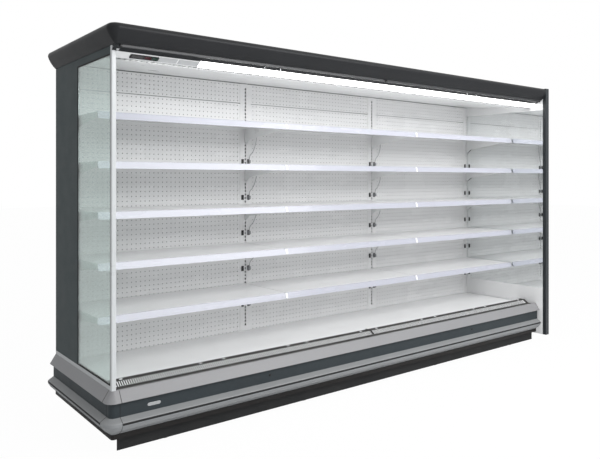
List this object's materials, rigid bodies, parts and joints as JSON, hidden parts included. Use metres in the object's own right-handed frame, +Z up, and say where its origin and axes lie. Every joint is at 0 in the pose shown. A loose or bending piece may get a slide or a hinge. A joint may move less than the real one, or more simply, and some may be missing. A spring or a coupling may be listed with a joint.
{
  "type": "open multideck display fridge",
  "caption": "Long open-front display fridge with lit canopy, shelf levels on slotted uprights, glazed and mirrored ends, night blinds and a bumper base.",
  "frame": {"origin": "on the floor, under the middle of the whole footprint", "axes": "+X along the run of shelves to the mirrored end, +Y from the open front to the back, +Z up"},
  "size_m": [3.868, 0.988, 2.162],
  "materials": {
    "dark_paint": "satin powder coat, anthracite",
    "rail_grey": "satin grey profile",
    "bumper_grey": "satin grey profile",
    "black_paint": "matt black",
    "white_steel": "white powder coat",
    "grille_white": "white powder coat",
    "price_rail": "bluish white gloss",
    "glass": "clear with a faint green tint",
    "mirror": "polished",
    "post_white": "white coated",
    "profile_silver": "satin anodised",
    "zinc_steel": "zinc plated",
    "foam_panel": "foamed panel in galvanised sheet",
    "coil": "bare fins and tubes",
    "black_plastic": "black moulded",
    "drain_grey": "grey moulded",
    "lamp_white": "opal",
    "honeycomb": "white honeycomb",
    "lead_grey": "grey sheath",
    "switch_red": "dark red",
    "switch_green": "dark green",
    "blind_fabric": "woven night blind",
    "wire_steel": "plated wire",
    "bar_aluminium": "satin anodised"
  },
  "bodies": {
    "cabinet": {"base_frame": "zinc_steel", "levelling_feet": "zinc_steel", "kick_plate": "black_paint", "tub": "foam_panel", "drain_outlet": "drain_grey", "rail_front": "rail_grey", "rail_side": "rail_grey", "rail_corner": "rail_grey", "apron": "dark_paint", "bumper_front": "bumper_grey", "bumper_side": "bumper_grey", "bumper_corner": "bumper_grey", "deck_pans": "white_steel", "return_grille": "grille_white", "fan_plate": "zinc_steel", "fan_motors": "black_plastic", "evaporator_coil": "coil", "rear_wall": "foam_panel", "back_panels": "white_steel", "uprights": "white_steel", "upright_sockets": "black_plastic", "shelf_trays_1": "white_steel", "shelf_trays_2": "white_steel", "shelf_trays_3": "white_steel", "shelf_trays_4": "white_steel", "shelf_trays_5": "white_steel", "shelf_brackets": "white_steel", "price_rails": "price_rail", "shelf_leads": "lead_grey", "left_end_frame": "dark_paint", "end_glass": "glass", "glass_profile": "profile_silver", "front_post": "post_white", "right_end_panel": "dark_paint", "right_end_trim": "dark_paint", "right_end_liner": "white_steel", "right_mirror": "mirror", "roof_panel": "foam_panel", "canopy_front": "dark_paint", "canopy_side": "dark_paint", "canopy_corner": "dark_paint", "canopy_lip": "dark_paint", "control_fascia": "white_steel", "lamp_diffuser": "lamp_white", "honeycomb_outlet": "honeycomb", "ceiling_liner": "white_steel", "display_controller": "black_plastic"},
    "fan_rotor_1": {"fan_rotor_1": "black_plastic"},
    "fan_rotor_2": {"fan_rotor_2": "black_plastic"},
    "fan_rotor_3": {"fan_rotor_3": "black_plastic"},
    "power_switch": {"power_switch": "switch_red"},
    "light_switch": {"light_switch": "switch_green"},
    "blind_bar_left": {"blind_bar_left": "bar_aluminium", "blind_fabric_left": "blind_fabric"},
    "blind_roller_left": {"blind_roller_left": "blind_fabric"},
    "wire_bow_left": {"wire_bow_left": "wire_steel"},
    "blind_bar_right": {"blind_bar_right": "bar_aluminium", "blind_fabric_right": "blind_fabric"},
    "blind_roller_right": {"blind_roller_right": "blind_fabric"},
    "wire_bow_right": {"wire_bow_right": "wire_steel"}
  },
  "joints": [
    {"name": "fan_1_spin", "type": "hinge", "parent": "cabinet", "child": "fan_rotor_1", "pos_m": [-1.244, -0.106, 0.228], "axis": [0, 1, 0], "continuous": true},
    {"name": "fan_2_spin", "type": "hinge", "parent": "cabinet", "child": "fan_rotor_2", "pos_m": [0.006, -0.106, 0.228], "axis": [0, 1, 0], "continuous": true},
    {"name": "fan_3_spin", "type": "hinge", "parent": "cabinet", "child": "fan_rotor_3", "pos_m": [1.256, -0.106, 0.228], "axis": [0, 1, 0], "continuous": true},
    {"name": "power_switch_rock", "type": "hinge", "parent": "cabinet", "child": "power_switch", "pos_m": [-1.684, -0.3755, 2.02687], "axis": [0, -0.8663, 0.4996], "range_deg": [0, 12]},
    {"name": "light_switch_rock", "type": "hinge", "parent": "cabinet", "child": "light_switch", "pos_m": [-1.6455, -0.3755, 2.02687], "axis": [0, -0.8663, 0.4996], "range_deg": [0, 12]},
    {"name": "blind_left_pull", "type": "slide", "parent": "cabinet", "child": "blind_bar_left", "axis": [0, 0.0302, -0.9995], "range_m": [0, 1.688], "stiffness_N_per_m": 6, "springref_m": -2, "deforming": ["blind_fabric_left"]},
    {"name": "blind_left_roll", "type": "hinge", "parent": "cabinet", "child": "blind_roller_left", "pos_m": [-0.9295, -0.4197, 2.098], "axis": [1, 0, 0], "range_deg": [0, 4210]},
    {"name": "wire_bow_left_swing", "type": "hinge", "parent": "blind_bar_left", "child": "wire_bow_left", "pos_m": [-0.9295, -0.443, 2.045], "axis": [1, 0, 0], "range_deg": [-80, 45]},
    {"name": "blind_right_pull", "type": "slide", "parent": "cabinet", "child": "blind_bar_right", "axis": [0, 0.0302, -0.9995], "range_m": [0, 1.688], "stiffness_N_per_m": 6, "springref_m": -2, "deforming": ["blind_fabric_right"]},
    {"name": "blind_right_roll", "type": "hinge", "parent": "cabinet", "child": "blind_roller_right", "pos_m": [0.9455, -0.4197, 2.098], "axis": [1, 0, 0], "range_deg": [0, 4210]},
    {"name": "wire_bow_right_swing", "type": "hinge", "parent": "blind_bar_right", "child": "wire_bow_right", "pos_m": [0.9455, -0.443, 2.045], "axis": [1, 0, 0], "range_deg": [-80, 45]}
  ],
  "couplings": [
    {"joint": "blind_left_roll", "follows": "blind_left_pull", "rad_per_m": 43.478},
    {"joint": "blind_right_roll", "follows": "blind_right_pull", "rad_per_m": 43.478}
  ]
}
